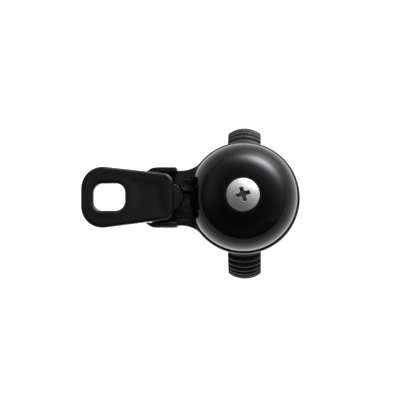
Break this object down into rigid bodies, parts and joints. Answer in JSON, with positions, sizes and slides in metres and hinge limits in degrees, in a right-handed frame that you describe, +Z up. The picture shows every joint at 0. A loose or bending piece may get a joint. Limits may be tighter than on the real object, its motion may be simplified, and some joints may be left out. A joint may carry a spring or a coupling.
{
  "type": "bicycle bell",
  "caption": "Small handlebar bell: gloss black dome on a plastic base, with a sprung thumb lever that swings a hammer inside the dome, and a ribbed strap clamp drawn tight by a round collar.",
  "frame": {"origin": "centre of the handlebar in the clamp, midway along the strap's width", "axes": "+X along the handlebar, away from the lever; +Z up through the dome's screw; +Y across the handlebar"},
  "size_m": [0.0648, 0.0466, 0.0715],
  "materials": {
    "dome_paint": "high gloss black",
    "black_plastic": "satin moulded",
    "lever_plastic": "satin gloss moulded",
    "strap_plastic": "dark flexible nylon, satin",
    "rubber": "matt",
    "stainless": "polished stainless steel",
    "steel": "bright zinc or spring steel",
    "brass": "turned",
    "white_plastic": "natural acetal"
  },
  "bodies": {
    "clamp": {"saddle": "black_plastic", "saddle_pad": "rubber"},
    "collar": {"clamp_collar": "black_plastic"},
    "strap": {"strap": "strap_plastic", "strap_liner": "rubber"},
    "head": {"base": "black_plastic", "post_insert": "brass", "stop_bumper": "rubber", "lever_pin": "steel", "lever_spring": "steel", "dome": "dome_paint", "dome_grommet": "rubber", "post_washer": "steel", "dome_screw": "stainless", "saddle_screw": "steel", "swivel_washer": "white_plastic"},
    "lever": {"lever": "lever_plastic", "hammer_leaf": "steel", "hammer_rivets": "steel", "hammer_head": "brass"}
  },
  "joints": [
    {"name": "lever_press", "type": "hinge", "parent": "head", "child": "lever", "pos_m": [-0.0244, 0, 0.0306], "axis": [0, -1, 0], "range_deg": [0, 9], "stiffness_Nm_per_rad": 0.25, "springref_deg": -6.88, "deforming": ["lever_spring"]},
    {"name": "head_swivel", "type": "hinge", "parent": "clamp", "child": "head", "pos_m": [0, 0, 0.027], "axis": [0, 0, 1], "continuous": true},
    {"name": "collar_turn", "type": "hinge", "parent": "clamp", "child": "collar", "pos_m": [0, 0, 0.0243], "axis": [0, 0, 1], "range_deg": [0, 360]},
    {"name": "strap_lift", "type": "slide", "parent": "clamp", "child": "strap", "axis": [0, 0, 1], "range_m": [-0.0027, 0]}
  ],
  "couplings": [
    {"joint": "strap_lift", "follows": "collar_turn", "m_per_rad": -0.0004297}
  ]
}
